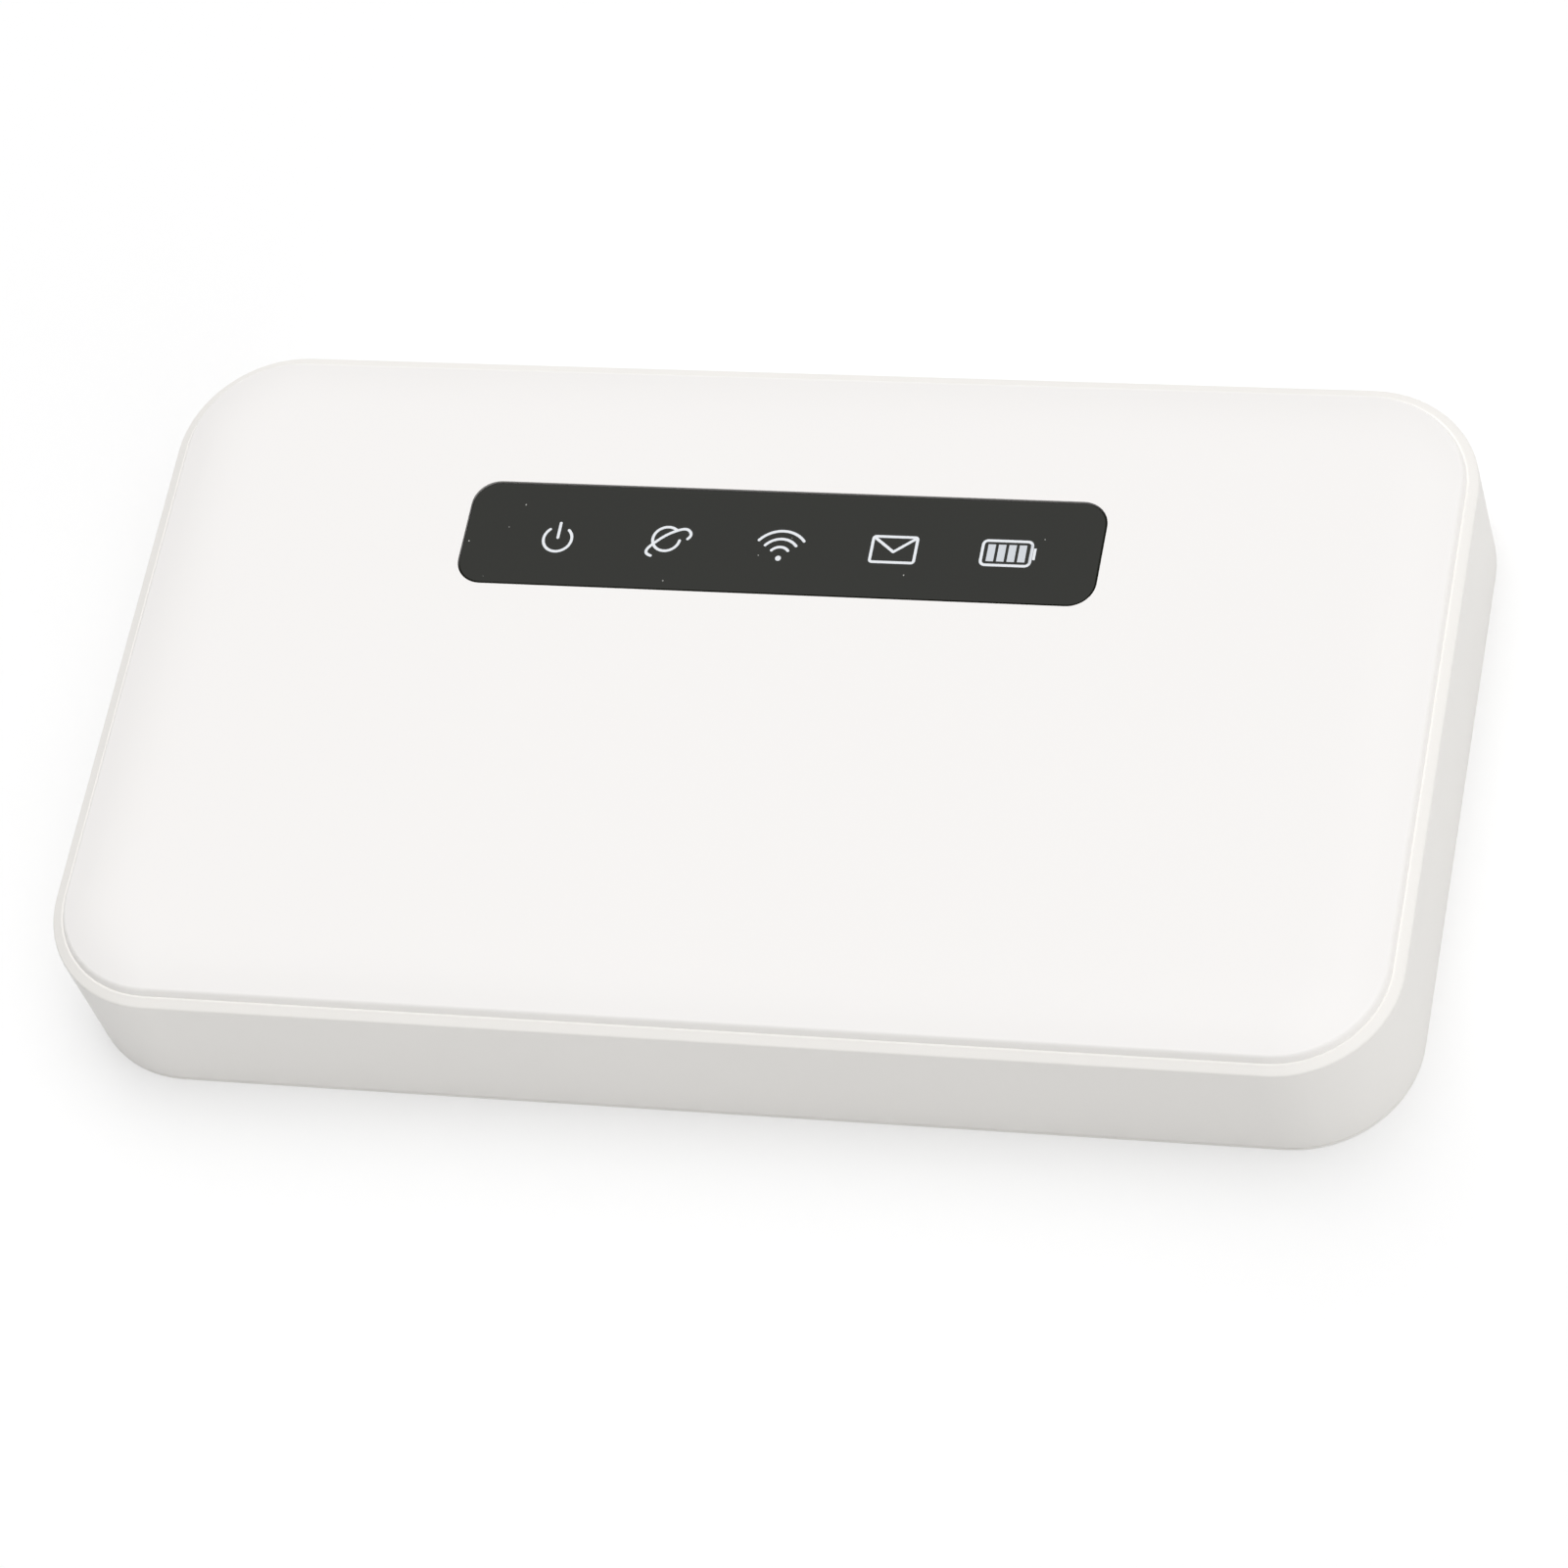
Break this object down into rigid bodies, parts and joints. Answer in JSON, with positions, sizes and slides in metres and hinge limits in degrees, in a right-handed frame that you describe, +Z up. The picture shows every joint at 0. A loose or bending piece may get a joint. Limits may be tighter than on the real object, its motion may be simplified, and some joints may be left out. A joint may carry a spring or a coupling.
{
  "type": "mobile hotspot",
  "caption": "Pocket Wi-Fi router: rounded white slab with a pillowed top, bevelled rim, black indicator window, back-wall socket and button, and a lift-off back cover over its battery.",
  "frame": {"origin": "centre of the flat base", "axes": "+X along the long side to the right, +Y towards the long side with the indicator window, socket and button, +Z up out of the top cover"},
  "size_m": [0.1, 0.0574, 0.0125],
  "materials": {
    "back_cover": "fine satin white moulding",
    "battery_foam_pads": "soft closed-cell foam",
    "top_cover": "satin white moulding",
    "main_housing": "fine satin white moulding",
    "housing_screws": "black zinc plated",
    "indicator_lens": "polished smoked acrylic",
    "lens_adhesive": "double-sided tape",
    "light_diffuser": "milky film",
    "light_shield": "black moulding",
    "status_leds": "moulded package, clear top",
    "icon_power": "translucent ink",
    "icon_network": "translucent ink",
    "icon_wifi": "translucent ink",
    "icon_message": "translucent ink",
    "icon_battery": "translucent ink",
    "main_pcb": "green solder mask",
    "usb_shell": "tin plated sheet",
    "usb_tongue": "black moulding",
    "usb_contacts": "gold plated",
    "power_switch": "tin plated cover",
    "reset_switch": "tin plated cover",
    "sim_socket": "stamped sheet",
    "sim_contacts": "gold plated",
    "battery_connector": "black moulding",
    "battery_springs": "gold plated",
    "info_label": "blank paper label",
    "modem_shield": "drawn tin plated can",
    "wifi_shield": "drawn tin plated can",
    "power_shield": "drawn tin plated can",
    "baseband_chip": "moulded package",
    "memory_chip": "moulded package",
    "rf_front_end": "moulded package",
    "wifi_chip": "moulded package",
    "power_management_chip": "moulded package",
    "thermal_pad": "soft silicone",
    "charging_inductor": "pressed ferrite",
    "crystal_oscillators": "metal can",
    "antenna_springs": "gold plated",
    "lte_main_antenna": "copper on film",
    "lte_diversity_antenna": "copper on film",
    "wifi_antenna": "copper on film",
    "battery_pack": "dark shrink film",
    "battery_wrap": "blank printed film",
    "battery_end_cap": "black moulding",
    "battery_terminals": "gold plated",
    "power_button": "fine satin white moulding",
    "power_switch_plunger": "moulded",
    "reset_switch_plunger": "moulded",
    "sim_card": "card stock",
    "sim_card_pads": "gold plated"
  },
  "bodies": {
    "back_cover": {"back_cover": "back_cover", "battery_foam_pads": "battery_foam_pads"},
    "housing": {"top_cover": "top_cover", "main_housing": "main_housing", "housing_screws": "housing_screws", "indicator_lens": "indicator_lens", "lens_adhesive": "lens_adhesive", "light_diffuser": "light_diffuser", "light_shield": "light_shield", "status_leds": "status_leds", "icon_power": "icon_power", "icon_network": "icon_network", "icon_wifi": "icon_wifi", "icon_message": "icon_message", "icon_battery": "icon_battery", "main_pcb": "main_pcb", "usb_shell": "usb_shell", "usb_tongue": "usb_tongue", "usb_contacts": "usb_contacts", "power_switch": "power_switch", "reset_switch": "reset_switch", "sim_socket": "sim_socket", "sim_contacts": "sim_contacts", "battery_connector": "battery_connector", "battery_springs": "battery_springs", "info_label": "info_label", "modem_shield": "modem_shield", "wifi_shield": "wifi_shield", "power_shield": "power_shield", "baseband_chip": "baseband_chip", "memory_chip": "memory_chip", "rf_front_end": "rf_front_end", "wifi_chip": "wifi_chip", "power_management_chip": "power_management_chip", "thermal_pad": "thermal_pad", "charging_inductor": "charging_inductor", "crystal_oscillators": "crystal_oscillators", "antenna_springs": "antenna_springs", "lte_main_antenna": "lte_main_antenna", "lte_diversity_antenna": "lte_diversity_antenna", "wifi_antenna": "wifi_antenna"},
    "battery": {"battery_pack": "battery_pack", "battery_wrap": "battery_wrap", "battery_end_cap": "battery_end_cap", "battery_terminals": "battery_terminals"},
    "power_button": {"power_button": "power_button", "power_switch_plunger": "power_switch_plunger"},
    "reset_plunger": {"reset_switch_plunger": "reset_switch_plunger"},
    "sim_card": {"sim_card": "sim_card", "sim_card_pads": "sim_card_pads"}
  },
  "joints": [
    {"name": "housing_lift", "type": "slide", "parent": "back_cover", "child": "housing", "axis": [0, 0, 1], "range_m": [0, 0.03]},
    {"name": "battery_lift", "type": "slide", "parent": "back_cover", "child": "battery", "axis": [0, 0, 1], "range_m": [0, 0.015]},
    {"name": "power_press", "type": "slide", "parent": "housing", "child": "power_button", "axis": [0, -1, 0], "range_m": [0, 0.00035], "stiffness_N_per_m": 500, "springref_m": -0.001},
    {"name": "reset_press", "type": "slide", "parent": "housing", "child": "reset_plunger", "axis": [0, -1, 0], "range_m": [0, 0.00025], "stiffness_N_per_m": 300, "springref_m": -0.001},
    {"name": "sim_slide", "type": "slide", "parent": "housing", "child": "sim_card", "axis": [0, -1, 0], "range_m": [0, 0.016]}
  ],
  "couplings": [
    {"joint": "battery_lift", "follows": "housing_lift", "ratio": 0.5}
  ]
}
